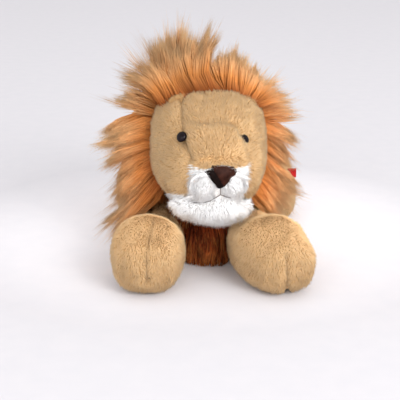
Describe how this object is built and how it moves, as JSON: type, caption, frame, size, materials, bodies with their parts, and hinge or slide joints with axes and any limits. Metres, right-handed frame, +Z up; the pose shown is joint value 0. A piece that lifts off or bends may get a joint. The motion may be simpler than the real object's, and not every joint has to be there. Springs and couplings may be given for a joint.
{
  "type": "plush lion",
  "caption": "Plush lion lying on its belly, head up over stretched forelegs, with a long-haired mane; its head, legs and tail turn on their sewn seams",
  "frame": {"origin": "on the floor, under the flat of the belly", "axes": "the lion looks along -Y and lies along Y; its own left is +X; +Z is up"},
  "size_m": [0.241, 0.5817, 0.2744],
  "materials": {
    "tan_plush": "short tan pile, dense and matt",
    "rust_hair": "long hair, rust at the roots and golden tan at the tips",
    "white_plush": "soft white pile, a little longer than the tan",
    "fibre_fill": "loose white fibre filling",
    "eye_gloss": "black, polished",
    "washer_plastic": "plain moulded, inside the head",
    "nose_leather": "dark brown, satin",
    "mouth_cotton": "grey thread",
    "label_cloth": "plain red woven tape"
  },
  "bodies": {
    "torso": {"body_skin": "tan_plush", "body_filling": "fibre_fill", "mane_collar": "rust_hair", "mane_chest": "rust_hair"},
    "head": {"head_skin": "tan_plush", "head_filling": "fibre_fill", "ear_left": "tan_plush", "ear_right": "tan_plush", "eye_left": "eye_gloss", "eye_right": "eye_gloss", "eye_washer_left": "washer_plastic", "eye_washer_right": "washer_plastic", "muzzle_left": "white_plush", "muzzle_right": "white_plush", "chin": "white_plush", "nose": "nose_leather", "mouth_thread": "mouth_cotton", "mane_crown": "rust_hair", "mane_cheek_left": "rust_hair", "mane_cheek_right": "rust_hair", "mane_nape": "rust_hair"},
    "foreleg_left": {"foreleg_left_skin": "tan_plush", "foreleg_left_filling": "fibre_fill"},
    "foreleg_right": {"foreleg_right_skin": "tan_plush", "foreleg_right_filling": "fibre_fill"},
    "hind_leg_left": {"hind_leg_left_skin": "tan_plush", "hind_leg_left_filling": "fibre_fill", "label": "label_cloth"},
    "hind_leg_right": {"hind_leg_right_skin": "tan_plush", "hind_leg_right_filling": "fibre_fill"},
    "tail": {"tail_skin": "tan_plush", "tail_filling": "fibre_fill", "tail_tuft": "rust_hair"}
  },
  "joints": [
    {"name": "head_turn", "type": "hinge", "parent": "torso", "child": "head", "pos_m": [0, -0.092, 0.1], "axis": [0, 0, 1], "range_deg": [-10, 5]},
    {"name": "foreleg_left_swing", "type": "hinge", "parent": "torso", "child": "foreleg_left", "pos_m": [0.052, -0.045, 0.03], "axis": [0, 0, 1], "range_deg": [0, 12]},
    {"name": "foreleg_right_swing", "type": "hinge", "parent": "torso", "child": "foreleg_right", "pos_m": [-0.052, -0.045, 0.03], "axis": [0, 0, 1], "range_deg": [-15, 0]},
    {"name": "hind_leg_left_swing", "type": "hinge", "parent": "torso", "child": "hind_leg_left", "pos_m": [0.056, 0.124, 0.04], "axis": [0, 0, 1], "range_deg": [0, 20]},
    {"name": "hind_leg_right_swing", "type": "hinge", "parent": "torso", "child": "hind_leg_right", "pos_m": [-0.056, 0.124, 0.04], "axis": [0, 0, 1], "range_deg": [-20, 0]},
    {"name": "tail_swing", "type": "hinge", "parent": "torso", "child": "tail", "pos_m": [0, 0.186, 0.01], "axis": [0, 0, 1], "range_deg": [-30, 30]}
  ]
}
